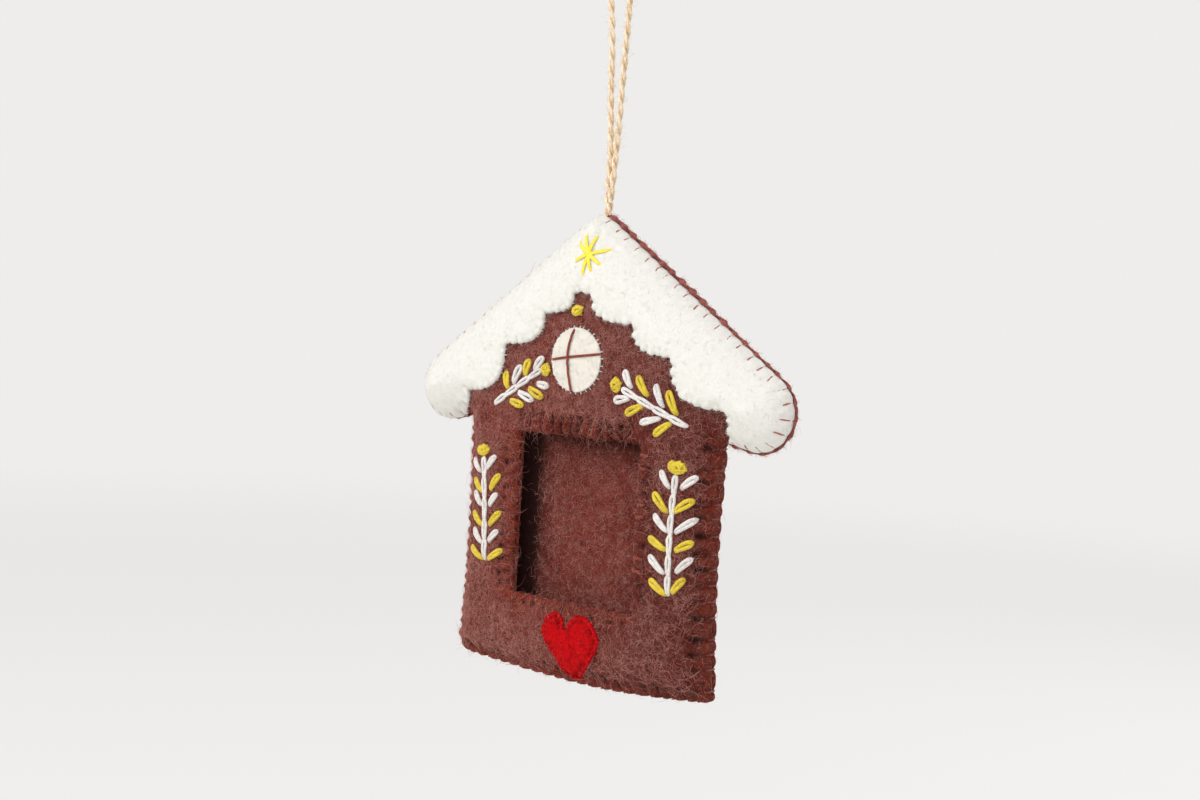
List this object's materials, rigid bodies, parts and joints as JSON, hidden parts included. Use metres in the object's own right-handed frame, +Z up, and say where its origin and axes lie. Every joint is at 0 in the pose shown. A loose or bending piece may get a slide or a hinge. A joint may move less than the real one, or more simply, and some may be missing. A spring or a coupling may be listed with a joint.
{
  "type": "picture frame ornament",
  "caption": "House-shaped padded felt picture frame with a square opening, sewn snow roof, embroidery and a heart, hanging from a jute twine loop.",
  "frame": {"origin": "inside top of the twine loop, where a hook or a twig carries it", "axes": "+Z up, -Y out of the front, +X to the right seen from the front"},
  "size_m": [0.1268, 0.0122, 0.1974],
  "materials": {
    "felt_brown": "heathered brown wool felt, matt and fuzzy",
    "felt_brown_back": "heathered brown wool felt, matt and fuzzy",
    "felt_white": "white wool felt, matt and fuzzy",
    "felt_cream": "cream wool felt, matt",
    "felt_red": "red wool felt, matt and fuzzy",
    "wadding": "white polyester wadding",
    "thread_brown": "brown cotton thread",
    "thread_rust": "rust cotton thread",
    "thread_white": "white stranded cotton, soft sheen",
    "thread_yellow": "yellow stranded cotton, soft sheen",
    "jute": "natural jute twine, hairy"
  },
  "bodies": {
    "loop": {"twine_loop": "jute"},
    "neck": {"twine_neck_left": "jute", "twine_neck_right": "jute"},
    "house": {"front_panel": "felt_brown", "frame_lining": "felt_brown", "back_panel": "felt_brown_back", "snow_roof": "felt_white", "attic_window": "felt_cream", "heart": "felt_red", "padding": "wadding", "window_cross": "thread_brown", "roof_thread_left": "thread_brown", "roof_thread_right": "thread_brown", "wall_thread_left": "thread_brown", "wall_thread_right": "thread_brown", "bottom_thread": "thread_brown", "opening_thread_left": "thread_rust", "opening_thread_right": "thread_rust", "opening_thread_top": "thread_rust", "opening_thread_bottom": "thread_rust", "sprig_left_stem": "thread_white", "sprig_right_stem": "thread_white", "sprig_gable_left_stem": "thread_white", "sprig_gable_right_stem": "thread_white", "star": "thread_yellow", "gable_knot": "thread_yellow", "sprig_left_knot": "thread_yellow", "sprig_right_knot": "thread_yellow", "sprig_gable_left_knot": "thread_yellow", "sprig_gable_right_knot": "thread_yellow", "sprig_left_leaf_1": "thread_yellow", "sprig_left_leaf_2": "thread_yellow", "sprig_left_leaf_3": "thread_yellow", "sprig_left_leaf_4": "thread_yellow", "sprig_left_leaf_5": "thread_yellow", "sprig_left_leaf_6": "thread_yellow", "sprig_right_leaf_1": "thread_yellow", "sprig_right_leaf_2": "thread_yellow", "sprig_right_leaf_3": "thread_yellow", "sprig_right_leaf_4": "thread_yellow", "sprig_right_leaf_5": "thread_yellow", "sprig_right_leaf_6": "thread_yellow", "sprig_gable_left_leaf_1": "thread_yellow", "sprig_gable_left_leaf_2": "thread_yellow", "sprig_gable_left_leaf_3": "thread_yellow", "sprig_gable_left_leaf_4": "thread_yellow", "sprig_gable_right_leaf_1": "thread_yellow", "sprig_gable_right_leaf_2": "thread_yellow", "sprig_gable_right_leaf_3": "thread_yellow", "sprig_gable_right_leaf_4": "thread_yellow", "twine_root": "jute"}
  },
  "joints": [
    {"name": "twist", "type": "hinge", "parent": "loop", "child": "neck", "pos_m": [0, 0, -0.054], "axis": [0, 0, 1], "range_deg": [-180, 180]},
    {"name": "swing", "type": "hinge", "parent": "neck", "child": "house", "pos_m": [0, 0, -0.0694], "axis": [1, 0, 0], "range_deg": [-90, 90]}
  ]
}
